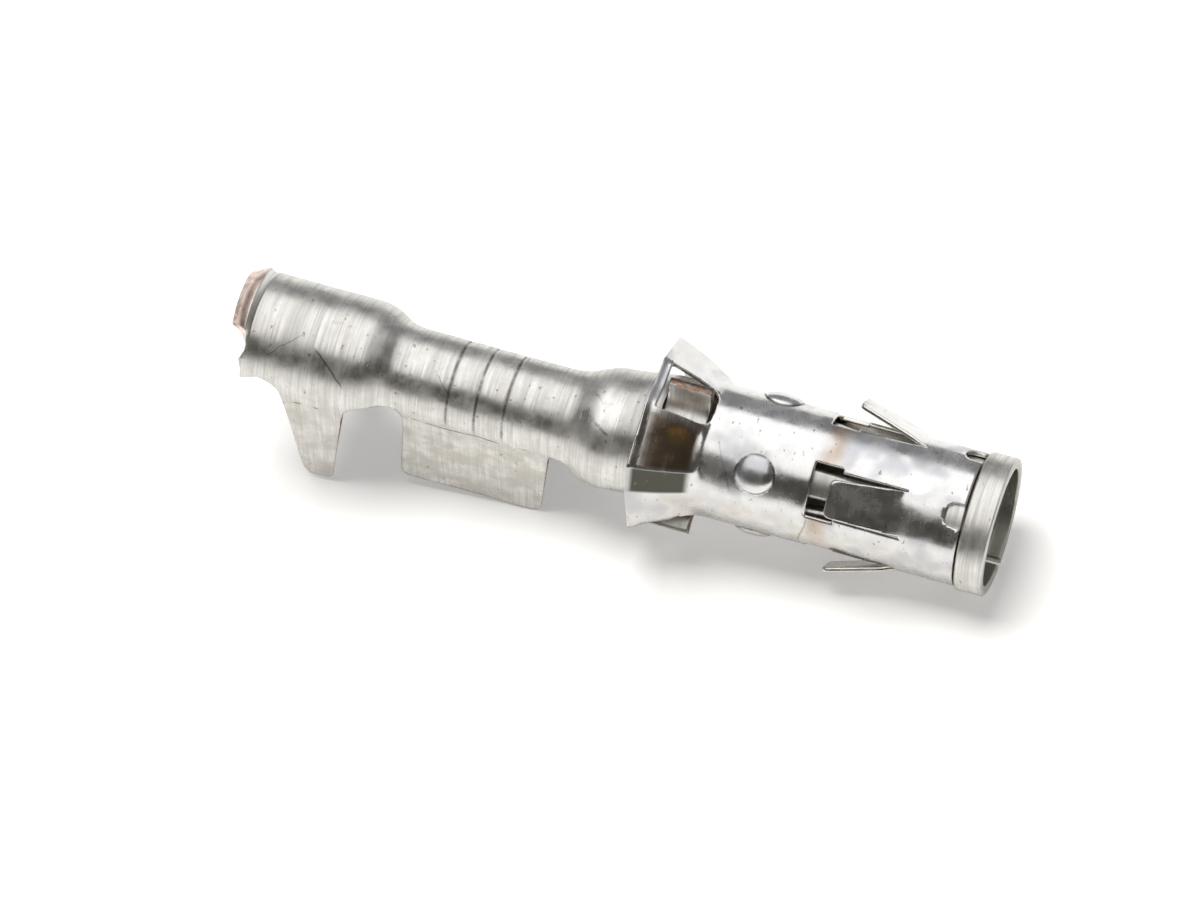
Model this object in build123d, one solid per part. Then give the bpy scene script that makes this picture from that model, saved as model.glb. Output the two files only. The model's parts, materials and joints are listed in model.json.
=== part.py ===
from build123d import *
import os
from math import atan2, cos, degrees, radians, sin

# Round crimp socket contact with a separate locking sleeve, in millimetres.
# It is drawn about its own axis first: the mouth is at x = 0 and faces +X, the
# spine of the wire barrels is up (+Z), and their open side is down. Stations
# are distances behind the mouth. Angles go round the axis from the -Y side
# over the top. At the end the part is laid down as it comes to rest.

# Strip of the contact
stock = 0.32
mouth_radius = 2.13
mouth_length = 0.90
mouth_bevel = 0.06
seat_radius = 1.88
neck_radius = 1.88
wire_radius = 1.40
cover_radius = 1.87

# Contact fingers
pin_radius = 1.25
land_length = 0.9
land_station = 3.3
finger_count = 8
finger_gap = 0.38
slot_front = 1.45
slot_back = 8.6
seam_gap = 0.14

# Locking lugs of the contact, bent out through the collar windows
lug_front = 9.2
lug_length = 1.2
lug_bend = 0.72
lug_turn = 68
lug_straight = 0.26
lug_start = 16
lug_margin = 0.08
lug_root = 0.12
lug_skin = 0.02

# Stations along the neck and the barrels, whose centre line drops a little
barrel_drop = 0.35
neck_start = 10.75
neck_narrows = 12.0
wire_front = 13.9
wire_back = 18.75
cover_front = 20.1
cover_back = 23.65

# Arches and wings in the side view: stations, and depths below the socket's axis
neck_arch_lean = 1.4
neck_arch_station = 13.15
neck_arch_depth = 0.75
wire_wing_front = 13.9
wire_wing_back = 18.78
wire_wing_depth = 3.93
wire_wing_lean = 0.3
wire_toe_round = 0.5
wire_heel_round = 0.3
cover_arch_front = 19.2
cover_arch_depth = 0.38
cover_wing_front = 20.28
cover_wing_lean = 0.6
cover_wing_tip = 0.95
cover_wing_depth = 4.5
cover_wing_root = 22.4
cover_tip_round = 0.25
cover_edge_depth = 0.08
wire_wing_root = 1.28
arch_round = 0.4
root_round = 0.24

# Grip grooves inside the wire barrel
groove_front = 15.35
groove_pitch = 0.9
groove_count = 3
groove_width = 0.2
groove_depth = 0.06

# Cut-off tab at the back end of the spine
tab_half_angle = 41
tab_length = 0.5
tab_lift = 0.14
tab_root = 0.02

# Locking sleeve
sleeve_stock = 0.14
sleeve_play = 0.03
sleeve_end_play = 0.02
sleeve_seam_gap = 0.10

# Flared collar: its rim has corners, given by angle and radius on one side
collar_start = 8.95
collar_end = 10.9
rim_top = 2.62
rim_corners = ((73, 2.86), (33, 2.95), (13, 2.80), (-22, 3.02), (-52, 2.98))
rim_bottom = 2.85
collar_wall = 0.15
collar_window_angles = (90, -37, -143)
collar_window_half_angle = 16
collar_window_front = 9.0
collar_window_back = 10.62
collar_window_round = 0.42

# Features of the sleeve
feature_count = 4
feature_start = 45
lance_root = 2.7
lance_tip = 4.9
lance_rise = 0.64
lance_width = 1.3
lance_tip_width = 1.08
lance_tip_round = 0.2
lance_slit = 0.08
lance_overlap = 0.3
window_front = 4.72
window_back = 5.58
window_half_angle = 24.5
dimple_station = 7.28
dimple_radius = 0.56
dimple_top_radius = 0.3
dimple_height = 0.16
notch_angles = (56, 124, -56, -124)
notch_width = 0.74
notch_depth = 0.6

sleeve_inner = seat_radius + sleeve_play
sleeve_outer = sleeve_inner + sleeve_stock
sleeve_front = mouth_length + sleeve_end_play


def at(station, radius):
    """Point of a turned profile."""
    return (-station, radius)


def revolved(profile):
    """Solid turned about the part's axis from a profile in the XY plane."""
    return revolve(profile, Axis.X, 360)


def on_angle(shape, angle):
    """Shape drawn over the top of the axis, turned to an angle."""
    return Rot(90 - angle, 0, 0) * shape


def finger_lines(offset):
    """Side line of the tube under the sleeve, pinched in at the contact land."""
    land = pin_radius + stock - offset
    seat = seat_radius - offset
    corners = [
        at(mouth_length - offset, seat),
        at(slot_front, seat),
        at(land_station - land_length / 2, land),
        at(land_station + land_length / 2, land),
        at(slot_back, seat),
    ]
    return [Line(start, end) for start, end in zip(corners, corners[1:])]


def turned_envelope(offset, bevel):
    """Closed turned body of the socket, moved in by an offset, with its mouth bevelled."""
    mouth = mouth_radius - offset
    seat = seat_radius - offset
    step = mouth_length - offset
    lug_end = lug_front + lug_length + lug_margin
    front = [
        Line(at(0, 0), at(0, mouth - bevel)),
        Line(at(0, mouth - bevel), at(abs(bevel), mouth)),
        Line(at(abs(bevel), mouth), at(step, mouth)),
        Line(at(step, mouth), at(step, seat)),
    ]
    rear = [
        Line(at(slot_back, seat), at(lug_end, seat)),
        Line(at(lug_end, seat), at(neck_start, neck_radius - offset)),
        Line(at(neck_start, neck_radius - offset), at(neck_start, 0)),
        Line(at(neck_start, 0), at(0, 0)),
    ]
    return revolved(make_face(Wire(front + finger_lines(offset) + rear)))


def eased(station, start, end):
    """Smooth step from 0 at one station to 1 at another."""
    share = min(max((station - start) / (end - start), 0), 1)
    return (1 - cos(radians(180 * share))) / 2


def blend_section(station, radius, roundness, drop):
    """Section between a full circle (roundness 1) and a channel (roundness 0)."""
    corner = 60
    side_mid = (
        radius * (roundness * cos(radians(corner / 2)) + 1 - roundness),
        -radius * (roundness * sin(radians(corner / 2)) + (1 - roundness) / 2),
    )
    side_end = (
        radius * (roundness * cos(radians(corner)) + 1 - roundness),
        -radius * (roundness * sin(radians(corner)) + 1 - roundness),
    )
    top = ThreePointArc((radius, 0), (0, radius), (-radius, 0))
    if roundness > 0:
        left = ThreePointArc((-radius, 0), (-side_mid[0], side_mid[1]), (-side_end[0], side_end[1]))
        low = ThreePointArc((-side_end[0], side_end[1]), (0, -radius), side_end)
        right = ThreePointArc(side_end, side_mid, (radius, 0))
    else:
        left = Line((-radius, 0), (-side_end[0], side_end[1]))
        low = Line((-side_end[0], side_end[1]), side_end)
        right = Line(side_end, (radius, 0))
    place = Plane(origin=(-station, 0, -drop), x_dir=(0, 1, 0), z_dir=(1, 0, 0))
    return place * make_face(Wire([top, left, low, right]))


def neck_envelope(offset):
    """Neck and taper: it drops a little, narrows, and opens into the wire barrel."""
    shares = (0, 0.17, 0.34, 0.48, 0.62, 0.76, 0.9, 1)
    sections = []
    for share in shares:
        station = neck_start + (wire_front - neck_start) * share
        narrowing = eased(station, neck_narrows, wire_front)
        radius = neck_radius + (wire_radius - neck_radius) * narrowing - offset
        drop = barrel_drop * eased(station, neck_start, wire_front)
        sections.append(blend_section(station, radius, 1 - narrowing, drop))
    return loft(sections)


def barrel_envelope(offset):
    """Both barrels as a round-topped channel that is deeper than any wing."""
    wire = wire_radius - offset
    cover = cover_radius - offset
    end = cover_back + 2
    half = make_face(
        Wire(
            [
                Line(at(wire_front, wire), at(wire_back, wire)),
                Spline(at(wire_back, wire), at(cover_front, cover), tangents=((-1, 0), (-1, 0))),
                Line(at(cover_front, cover), at(end, cover)),
                Line(at(end, cover), at(end, 0)),
                Line(at(end, 0), at(wire_front, 0)),
                Line(at(wire_front, 0), at(wire_front, wire)),
            ]
        )
    )
    reach = 2 * cover_radius
    above = Pos(-end / 2, 0, reach / 2) * Box(end + 2, 2 * reach, reach)
    over = revolved(half) & above
    plan = half + mirror(half, Plane.XZ)
    under = extrude(plan, cover_wing_depth + 1, dir=(0, 0, -1))
    return Pos(0, 0, -barrel_drop) * (over + under)


def side_outline():
    """Side view of the part: arches, wings and the back edge of the barrels."""
    top = mouth_radius + 1
    deep = -mouth_radius - 0.5
    arch_rise = -deep - neck_arch_depth
    wire_toe = -wire_wing_front - wire_wing_lean
    cover_toe = -cover_wing_front - cover_wing_lean
    points = {
        "front_top": (1, top),
        "front_low": (1, deep),
        "neck_low": (-neck_arch_station + arch_rise / neck_arch_lean, deep),
        "neck_arch": (-neck_arch_station, -neck_arch_depth),
        "wire_root": (-wire_wing_front, -neck_arch_depth),
        "wire_toe": (wire_toe, -wire_wing_depth),
        "wire_heel": (-wire_wing_back, -wire_wing_depth),
        "wire_back": (-wire_wing_back, -wire_wing_root),
        "cover_arch": (-cover_arch_front, -cover_arch_depth),
        "cover_root_front": (-cover_wing_front, -cover_arch_depth),
        "cover_toe": (cover_toe, -cover_wing_depth),
        "cover_heel": (cover_toe - cover_wing_tip, -cover_wing_depth),
        "cover_root_back": (-cover_wing_root, -cover_edge_depth),
        "back_low": (-cover_back, -cover_edge_depth),
        "back_top": (-cover_back, top),
    }
    rounds = {
        "neck_arch": arch_round,
        "wire_root": root_round,
        "wire_toe": wire_toe_round,
        "wire_heel": wire_heel_round,
        "wire_back": root_round,
        "cover_arch": arch_round,
        "cover_root_front": arch_round,
        "cover_toe": cover_tip_round,
        "cover_heel": cover_tip_round,
        "cover_root_back": arch_round,
    }
    outline = Polyline(*points.values(), close=True)
    face = make_face(outline)
    for name, radius in rounds.items():
        x, z = points[name]
        corner = face.vertices().sort_by_distance(Vector(x, z, 0))[0]
        face = fillet(corner, radius)
    standing = Plane.XZ * face
    return extrude(standing, 2 * mouth_radius, both=True)


def back_tab():
    """Cut-off tab: a stretch of the spine that kicks up a little."""
    end = cover_back + tab_length
    place = Plane(origin=(tab_root - cover_back, 0, -barrel_drop), x_dir=(0, -1, 0), z_dir=(-1, 0, 0))
    lifted = Plane(origin=(-end, 0, tab_lift - barrel_drop), x_dir=(0, -1, 0), z_dir=(-1, 0, 0))
    start = 90 - tab_half_angle
    spread = radians(start)
    outer = (cover_radius * cos(spread), cover_radius * sin(spread))
    inner = ((cover_radius - stock) * cos(spread), (cover_radius - stock) * sin(spread))
    edge = Wire(
        [
            CenterArc((0, 0), cover_radius, start, 2 * tab_half_angle),
            Line((-outer[0], outer[1]), (-inner[0], inner[1])),
            CenterArc((0, 0), cover_radius - stock, start, 2 * tab_half_angle),
            Line(inner, outer),
        ]
    )
    section = make_face(edge)
    return loft([place * section, lifted * section], ruled=True)


def finger_slots():
    """Slots between the contact fingers."""
    middle = (slot_front + slot_back) / 2
    slot = Pos(-middle, 0, seat_radius) * Box(slot_back - slot_front, finger_gap, mouth_radius)
    step = 360 / finger_count
    return [on_angle(slot, step / 2 + step * index) for index in range(finger_count)]


def lug_section():
    """Section of a lug: it leaves the tube wall and curls out to a free edge."""
    turn = radians(lug_turn)
    inside = lug_bend + stock
    top = seat_radius
    bottom = seat_radius - stock
    end_out = (lug_bend * sin(turn), top + lug_bend * (1 - cos(turn)))
    end_in = (inside * sin(turn), bottom + inside * (1 - cos(turn)))
    run = (lug_straight * cos(turn), lug_straight * sin(turn))
    mid = turn / 2
    mid_out = (lug_bend * sin(mid), top + lug_bend * (1 - cos(mid)))
    mid_in = (inside * sin(mid), bottom + inside * (1 - cos(mid)))
    far_out = (end_out[0] + run[0], end_out[1] + run[1])
    far_in = (end_in[0] + run[0], end_in[1] + run[1])
    outline = Wire(
        [
            Line((-lug_root, bottom + lug_skin), (-lug_root, top - lug_skin)),
            Line((-lug_root, top - lug_skin), (0, top)),
            ThreePointArc((0, top), mid_out, end_out),
            Line(end_out, far_out),
            Line(far_out, far_in),
            Line(far_in, end_in),
            ThreePointArc(end_in, mid_in, (0, bottom)),
            Line((0, bottom), (-lug_root, bottom + lug_skin)),
        ]
    )
    return Rot(0, 0, lug_start) * make_face(outline)


def lug_pieces():
    """Lugs and the openings that they leave in the wall."""
    lug_plane = Plane(origin=(-lug_front - lug_length, 0, 0), x_dir=(0, 1, 0), z_dir=(1, 0, 0))
    lug = extrude(lug_plane * lug_section(), lug_length)
    span = (lug_bend + stock / 2) * radians(lug_turn) + lug_straight
    opening_angle = degrees(span / (seat_radius - stock / 2))
    end = 90 + lug_start
    back = lug_front + lug_length + lug_margin
    opening_plane = Plane(origin=(-back, 0, 0), x_dir=(0, 1, 0), z_dir=(1, 0, 0))
    wedge = sector(seat_radius + stock, end - opening_angle, end)
    opening = extrude(opening_plane * wedge, lug_length + 2 * lug_margin)
    lugs = [on_angle(lug, angle) for angle in collar_window_angles]
    openings = [on_angle(opening, angle) for angle in collar_window_angles]
    return lugs, openings


def sector(radius, start, end):
    """Pie slice in a plane, between two angles in degrees."""
    first = (radius * cos(radians(start)), radius * sin(radians(start)))
    last = (radius * cos(radians(end)), radius * sin(radians(end)))
    sides = [Line((0, 0), first), Line((0, 0), last)]
    return make_face(Wire(sides + [CenterArc((0, 0), radius, start, end - start)]))


def grip_groove(station):
    """Shallow groove round the inside of the wire barrel."""
    place = Plane(
        origin=(-station - groove_width / 2, 0, -barrel_drop), x_dir=(0, 1, 0), z_dir=(1, 0, 0)
    )
    outer = wire_radius - stock + groove_depth
    top = Circle(outer) & Pos(0, outer) * Rectangle(4 * outer, 2 * outer)
    leg = 0.3 * wire_radius
    sides = Pos(0, -leg / 2) * Rectangle(2 * outer, leg)
    return extrude(place * (top + sides), groove_width)


def contact_body():
    """The stamped and rolled contact, one strip from mouth to tab."""
    outside = turned_envelope(0, mouth_bevel) + neck_envelope(0) + barrel_envelope(0)
    inside = turned_envelope(stock, -mouth_bevel) + neck_envelope(stock) + barrel_envelope(stock)
    body = (outside - inside) & side_outline()
    body = body + back_tab()
    lugs, openings = lug_pieces()
    for opening in openings:
        body = body - opening
    for lug in lugs:
        body = body + lug
    for slot in finger_slots():
        body = body - slot
    seam = Pos(-wire_front / 2, 0, -mouth_radius) * Box(wire_front + 1, seam_gap, mouth_radius)
    body = body - seam
    for index in range(groove_count):
        body = body - grip_groove(groove_front + groove_pitch * index)
    return body


def rim_line(inset):
    """Corners of the collar's rim, once round, as (angle, radius)."""
    near = [(angle, radius - inset) for angle, radius in rim_corners]
    far = [(180 - angle, radius) for angle, radius in reversed(near)]
    return [(90, rim_top - inset)] + near + [(-90, rim_bottom - inset)] + [(a - 360, r) for a, r in far]


def collar_envelope(radius, inset):
    """Flare from a round tube to a rim with corners, one flat facet per side."""
    corners = rim_line(inset)
    ring = []
    rim = []
    for (first, first_radius), (last, last_radius) in zip(corners, corners[1:] + [(-270, rim_top - inset)]):
        ring.append(CenterArc((0, 0), radius, 180 - first, first - last))
        start = (-first_radius * cos(radians(first)), first_radius * sin(radians(first)))
        end = (-last_radius * cos(radians(last)), last_radius * sin(radians(last)))
        rim.append(Line(start, end))
    front = Plane(origin=(-collar_start, 0, 0), x_dir=(0, 1, 0), z_dir=(1, 0, 0))
    back = Plane(origin=(-collar_end, 0, 0), x_dir=(0, 1, 0), z_dir=(1, 0, 0))
    return loft([front * make_face(Wire(ring)), back * make_face(Wire(rim))], ruled=True)


def sleeve_shell():
    """Rolled tube with its flared collar."""
    length = collar_start - sleeve_front
    middle = -(collar_start + sleeve_front) / 2
    tube = Pos(middle, 0, 0) * Rot(0, 90, 0) * Cylinder(sleeve_outer, length)
    bore = Pos(middle, 0, 0) * Rot(0, 90, 0) * Cylinder(sleeve_inner, length)
    collar = collar_envelope(sleeve_outer, 0)
    hollow = collar_envelope(sleeve_inner, collar_wall)
    return (tube + collar) - (bore + hollow)


def lance():
    """Locking lance, rolled to the sleeve and lifted towards its tip."""
    length = lance_tip - lance_root
    lift = degrees(atan2(lance_rise, length))
    shell = Circle(sleeve_outer) - Circle(sleeve_inner)
    place = Plane(origin=(-lance_tip, 0, 0), x_dir=(0, 1, 0), z_dir=(1, 0, 0))
    band = extrude(place * shell, length + lance_overlap)
    half = lance_width / 2
    tip = lance_tip_width / 2
    root = lance_overlap - lance_root
    plan = make_face(
        Polyline(
            (-lance_tip, -tip),
            (-lance_tip, tip),
            (-lance_root, half),
            (root, half),
            (root, -half),
            (-lance_root, -half),
            close=True,
        )
    )
    tips = plan.vertices().group_by(Axis.X)[0]
    plan = fillet(tips, lance_tip_round)
    blade = band & extrude(plan, 2 * sleeve_outer)
    hinge = (-lance_root, 0, sleeve_outer)
    return Pos(*hinge) * Rot(0, lift, 0) * Pos(-hinge[0], 0, -hinge[2]) * blade


def lance_opening():
    """Opening round a lance: side slits and the wide window behind its tip."""
    middle = (window_front + window_back) / 2
    slit_width = lance_width + 2 * lance_slit
    window_width = 2 * sleeve_outer * sin(radians(window_half_angle))
    front = lance_root - lance_slit
    slit = Pos(-(front + middle) / 2, 0, sleeve_outer) * Box(middle - front, slit_width, sleeve_outer)
    window = Pos(-middle, 0, sleeve_outer) * Box(
        window_back - window_front, window_width, sleeve_outer
    )
    return slit + window


def dimple():
    """Raised round dimple with a flat top."""
    spread = (dimple_radius - dimple_top_radius) / dimple_height
    sunk = sleeve_stock / 2
    height = dimple_height + sunk
    bump = Cone(dimple_radius + spread * sunk, dimple_top_radius, height)
    return Pos(-dimple_station, 0, sleeve_outer + dimple_height - height / 2) * bump


def collar_window():
    """Opening in the collar with a round front end."""
    middle = (sleeve_outer + rim_top) / 2
    width = 2 * middle * sin(radians(collar_window_half_angle))
    length = collar_window_back - collar_window_front
    hole = Pos(-(collar_window_front + collar_window_back) / 2, 0, sleeve_outer) * Box(length, width, 3)
    front = hole.edges().filter_by(Axis.Z).group_by(Axis.X)[-1]
    return fillet(front, collar_window_round)


def locking_sleeve():
    """Thin steel sleeve trapped between the mouth ring and the lugs."""
    sleeve = sleeve_shell()
    straight = notch_depth - notch_width / 2
    notch = Pos(-sleeve_front, 0, sleeve_outer) * Box(2 * straight, notch_width, 1)
    notch_end = Pos(-sleeve_front - straight, 0, sleeve_outer) * Cylinder(notch_width / 2, 1)
    step = 360 / feature_count
    for index in range(feature_count):
        angle = feature_start + step * index
        sleeve = sleeve - on_angle(lance_opening(), angle)
        sleeve = sleeve + on_angle(lance(), angle)
        sleeve = sleeve + on_angle(dimple(), angle)
    for angle in notch_angles:
        sleeve = sleeve - on_angle(notch + notch_end, angle)
    for angle in collar_window_angles:
        sleeve = sleeve - on_angle(collar_window(), angle)
    seam = Pos(-collar_end / 2, 0, -rim_bottom) * Box(2 * collar_end, sleeve_seam_gap, rim_bottom)
    return sleeve - seam


def lie_down(shapes):
    """Turn the part nose-down onto its ring and wings, centred over the origin."""
    front = (-mouth_bevel, -mouth_radius)
    rear = (-wire_wing_front - wire_wing_lean - wire_toe_round, -wire_wing_depth)
    slope = degrees(atan2(front[1] - rear[1], front[0] - rear[0]))
    laid = [Rot(0, slope, 0) * shape for shape in shapes]
    box = Compound(laid).bounding_box()
    shift = Pos(-(box.min.X + box.max.X) / 2, -(box.min.Y + box.max.Y) / 2, -box.min.Z)
    return [shift * shape for shape in laid]


def main():
    os.makedirs("parts", exist_ok=True)
    names = ["contact_body", "locking_sleeve"]
    solids = lie_down([contact_body(), locking_sleeve()])
    for name, solid in zip(names, solids):
        export_step(solid, f"parts/{name}.step")


main()
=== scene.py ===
import bpy
import bmesh
import json
from bisect import bisect_left
from math import atan2, cos, degrees, exp, hypot, pi, radians, sin
from mathutils import Matrix, Vector, noise
from mathutils.geometry import tessellate_polygon


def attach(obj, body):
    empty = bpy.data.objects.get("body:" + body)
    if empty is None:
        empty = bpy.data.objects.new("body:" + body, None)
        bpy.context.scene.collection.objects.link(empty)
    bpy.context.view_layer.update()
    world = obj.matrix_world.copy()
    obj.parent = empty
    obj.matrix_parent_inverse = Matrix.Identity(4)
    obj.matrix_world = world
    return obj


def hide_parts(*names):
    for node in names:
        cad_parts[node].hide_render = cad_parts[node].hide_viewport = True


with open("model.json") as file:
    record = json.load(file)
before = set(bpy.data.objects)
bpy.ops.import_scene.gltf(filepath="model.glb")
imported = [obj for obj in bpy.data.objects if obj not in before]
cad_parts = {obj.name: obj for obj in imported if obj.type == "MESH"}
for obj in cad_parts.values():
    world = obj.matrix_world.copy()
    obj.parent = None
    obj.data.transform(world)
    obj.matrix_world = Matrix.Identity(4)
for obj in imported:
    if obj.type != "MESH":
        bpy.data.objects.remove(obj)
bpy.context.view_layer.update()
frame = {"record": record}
print("frame loaded")

# Everything below is measured in millimetres along the socket's own axis: a station is a distance
# behind the mouth, and an angle goes round from the near side over the top. setInPlace lays it down.
mounts = {m["name"]: m for m in frame["record"]["mounts"]}
landStation = 3.3
axisOut = Vector(mounts["pin_socket"]["axis"])
axisUp = Vector((-axisOut.z, 0, axisOut.x))
axisSide = Vector((0, 1, 0))
mouthPoint = Vector(mounts["pin_socket"]["pos_m"]) + axisOut * landStation * 0.001


def setInPlace(station, side, height):
    return mouthPoint + (axisOut * -station + axisSide * side + axisUp * height) * 0.001


def addObject(name, data):
    thing = bpy.data.objects.new(name, data)
    bpy.context.scene.collection.objects.link(thing)
    return thing


def emptyTree(owner):
    owner.use_nodes = True
    owner.node_tree.nodes.clear()
    return Wiring(owner.node_tree)


def addSockets(tree, way, kind, *labels):
    for label in labels:
        tree.interface.new_socket(label, in_out=way, socket_type="NodeSocket" + kind)


class Wiring:
    # short way to add and link nodes in one tree
    def __init__(self, tree):
        self.tree = tree

    def add(self, kind, values=None, **settings):
        node = self.tree.nodes.new(kind)
        for key, value in settings.items():
            setattr(node, key, value)
        for label, value in (values or {}).items():
            self.feed(node.inputs[label], value)
        return node

    def feed(self, socket, value):
        if isinstance(value, bpy.types.NodeSocket):
            self.tree.links.new(value, socket)
        elif socket.type == "RGBA":
            socket.default_value = (*value, 1)
        else:
            socket.default_value = value

    def maths(self, kind, a, b=0.0):
        return self.add("ShaderNodeMath", {0: a, 1: b}, operation=kind).outputs[0]

    def times(self, first, *others):
        for value in others:
            first = self.maths("MULTIPLY", first, value)
        return first

    def plus(self, first, *others):
        for value in others:
            first = self.maths("ADD", first, value)
        return first

    def minus(self, a, b):
        return self.maths("SUBTRACT", a, b)

    def remap(self, value, low, high, toLow=0.0, toHigh=1.0):
        return self.add("ShaderNodeMapRange", {
            "Value": value, "From Min": low, "From Max": high, "To Min": toLow, "To Max": toHigh,
        }, interpolation_type="SMOOTHSTEP").outputs[0]

    def closeTo(self, value, centre, inner, outer):
        # 1 within inner of the centre, 0 beyond outer
        return self.remap(self.maths("ABSOLUTE", self.minus(value, centre)), inner, outer, 1.0, 0.0)

    def tint(self, under, over, *shares):
        share = self.times(*shares)
        return self.add("ShaderNodeMix", {0: share, 6: under, 7: over}, data_type="RGBA").outputs[2]

    def noise(self, vector, scale, detail, rough, shift=(0, 0, 0), stretch=(1, 1, 1)):
        place = self.add("ShaderNodeMapping", {"Vector": vector, "Scale": stretch, "Location": shift})
        return self.add("ShaderNodeTexNoise", {
            "Vector": place.outputs[0], "Scale": scale, "Detail": detail, "Roughness": rough,
        }).outputs["Fac"]


def softCurve(points, x):
    # smooth line through the points that never swings past them
    if x <= points[0][0]:
        return points[0][1]
    if x >= points[-1][0]:
        return points[-1][1]
    n = len(points)
    for i in range(n - 1):
        if x <= points[i + 1][0]:
            break
    slopes = [0.0, 0.0, 0.0]
    for j in range(max(i - 1, 0), min(i + 2, n - 1)):
        slopes[j - i + 1] = (points[j + 1][1] - points[j][1]) / (points[j + 1][0] - points[j][0])

    def tangent(a, b):
        return 2 * a * b / (a + b) if a * b > 0 else 0.0

    x0, y0 = points[i]
    x1, y1 = points[i + 1]
    h = x1 - x0
    t = (x - x0) / h
    m0 = tangent(slopes[0], slopes[1]) * h
    m1 = tangent(slopes[1], slopes[2]) * h
    return (
        (2 * t ** 3 - 3 * t ** 2 + 1) * y0 + (t ** 3 - 2 * t ** 2 + t) * m0
        + (3 * t ** 2 - 2 * t ** 3) * y1 + (t ** 3 - t ** 2) * m1
    )


def ramp(x, low, high):
    t = min(max((x - low) / (high - low), 0), 1)
    return t * t * (3 - 2 * t)


def bump(x, centre, width):
    return exp(-((x - centre) / width) ** 2)


def roundedLine(points, steps=5):
    # points are (a, b, radius): each corner with a radius becomes a short soft bend
    line = []
    for i, (a, b, r) in enumerate(points):
        if r <= 0 or i in (0, len(points) - 1):
            line.append((a, b))
            continue
        ends = []
        for c, d, _ in (points[i - 1], points[i + 1]):
            share = min(r / hypot(c - a, d - b), 0.49)
            ends.append((a + (c - a) * share, b + (d - b) * share))
        p, q = ends
        for k in range(steps + 1):
            t = k / steps
            line.append((
                (1 - t) ** 2 * p[0] + 2 * t * (1 - t) * a + t * t * q[0],
                (1 - t) ** 2 * p[1] + 2 * t * (1 - t) * b + t * t * q[1],
            ))
    return line


def stepped(low, high, step, extra=()):
    # evenly spread cut lines, with denser ones in the bands named in extra
    lines = set()
    for start, end, fine in ((low, high, step), *extra):
        count = max(1, round((end - start) / fine))
        for i in range(count + 1):
            lines.add(round(start + (end - start) * i / count, 4))
    keep = []
    for x in sorted(lines):
        if not keep or x - keep[-1] > 0.012:
            keep.append(x)
    return keep


# A sheet starts as a flat pattern with holes, is cut into a grid, and is rolled up.
def turnedLoop(loop, clockwise):
    area = sum(a * d - c * b for (a, b), (c, d) in zip(loop, loop[1:] + loop[:1]))
    return loop[::-1] if (area < 0) != clockwise else loop


def cleanLoop(loop):
    out = []
    for p in loop:
        if not out or hypot(p[0] - out[-1][0], p[1] - out[-1][1]) > 1e-4:
            out.append(p)
    if hypot(out[0][0] - out[-1][0], out[0][1] - out[-1][1]) < 1e-4:
        out.pop()
    return out


def insetLoop(loop, distance):
    # moves a loop into the material, with a mitre at each corner
    out = []
    n = len(loop)
    for i in range(n):
        p, a, b = loop[i], loop[i - 1], loop[(i + 1) % n]
        d1 = Vector((p[0] - a[0], p[1] - a[1])).normalized()
        d2 = Vector((b[0] - p[0], b[1] - p[1])).normalized()
        n1 = Vector((-d1.y, d1.x))
        n2 = Vector((-d2.y, d2.x))
        mid = n1 + n2
        if mid.length < 1e-6:
            mid = n1
        mid.normalize()
        reach = distance / max(mid.dot(n1), 0.45)
        out.append((p[0] + mid.x * reach, p[1] + mid.y * reach))
    return out


def flatPattern(islands, stationLines, widthLines, edge):
    # islands: [(outer loop, [hole loops])]. Gives vertices, faces and where each rim vertex belongs
    flat = bmesh.new()
    segments = []
    for outer, holes in islands:
        loops = [turnedLoop(cleanLoop(outer), False)] + [turnedLoop(cleanLoop(h), True) for h in holes]
        inner = [insetLoop(loop, edge) for loop in loops]
        for loop, inset in zip(loops, inner):
            for i in range(len(loop)):
                j = (i + 1) % len(loop)
                segments.append((Vector(inset[i]), Vector(inset[j]), Vector(loop[i]), Vector(loop[j])))
        rings = [[Vector((*p, 0)) for p in loop] for loop in inner]
        points = [p for ring in rings for p in ring]
        verts = [flat.verts.new(p) for p in points]
        for tri in tessellate_polygon(rings):
            a, b, c = (points[i] for i in tri)
            area = (b - a).cross(c - a).z
            if abs(area) > 1e-9:
                face = flat.faces.new([verts[i] for i in tri])
                if area < 0:
                    face.normal_flip()
    for lines, facing in ((stationLines, Vector((1, 0, 0))), (widthLines, Vector((0, 1, 0)))):
        for x in lines:
            bmesh.ops.bisect_plane(
                flat, geom=flat.verts[:] + flat.edges[:] + flat.faces[:], dist=0.002,
                plane_co=facing * x, plane_no=facing,
            )

    def onGrid(e):
        a, b = e.verts[0].co, e.verts[1].co
        if abs(a.x - b.x) < 3e-3:
            return nearLine(a.x, stationLines)
        if abs(a.y - b.y) < 3e-3:
            return nearLine(a.y, widthLines)
        return False

    loose = [e for e in flat.edges if len(e.link_faces) == 2 and not onGrid(e)]
    bmesh.ops.dissolve_edges(flat, edges=loose, use_verts=False)
    spare = [v for v in flat.verts if len(v.link_edges) == 2 and not v.is_boundary]
    if spare:
        bmesh.ops.dissolve_verts(flat, verts=spare)
    flat.verts.index_update()
    places = [(v.co.x, v.co.y) for v in flat.verts]
    faces = [[v.index for v in f.verts] for f in flat.faces]
    rimLoops = [e.link_loops[0] for e in flat.edges if len(e.link_faces) == 1]
    rimEdges = [(loop.vert.index, loop.link_loop_next.vert.index) for loop in rimLoops]
    rimPlace = {v.index: outerPlace(v.co.xy, segments) for v in flat.verts if v.is_boundary}
    flat.free()
    return places, faces, rimEdges, rimPlace


def nearLine(x, lines):
    place = min(bisect_left(lines, x - 0.004), len(lines) - 1)
    return abs(lines[place] - x) < 0.0045


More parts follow.
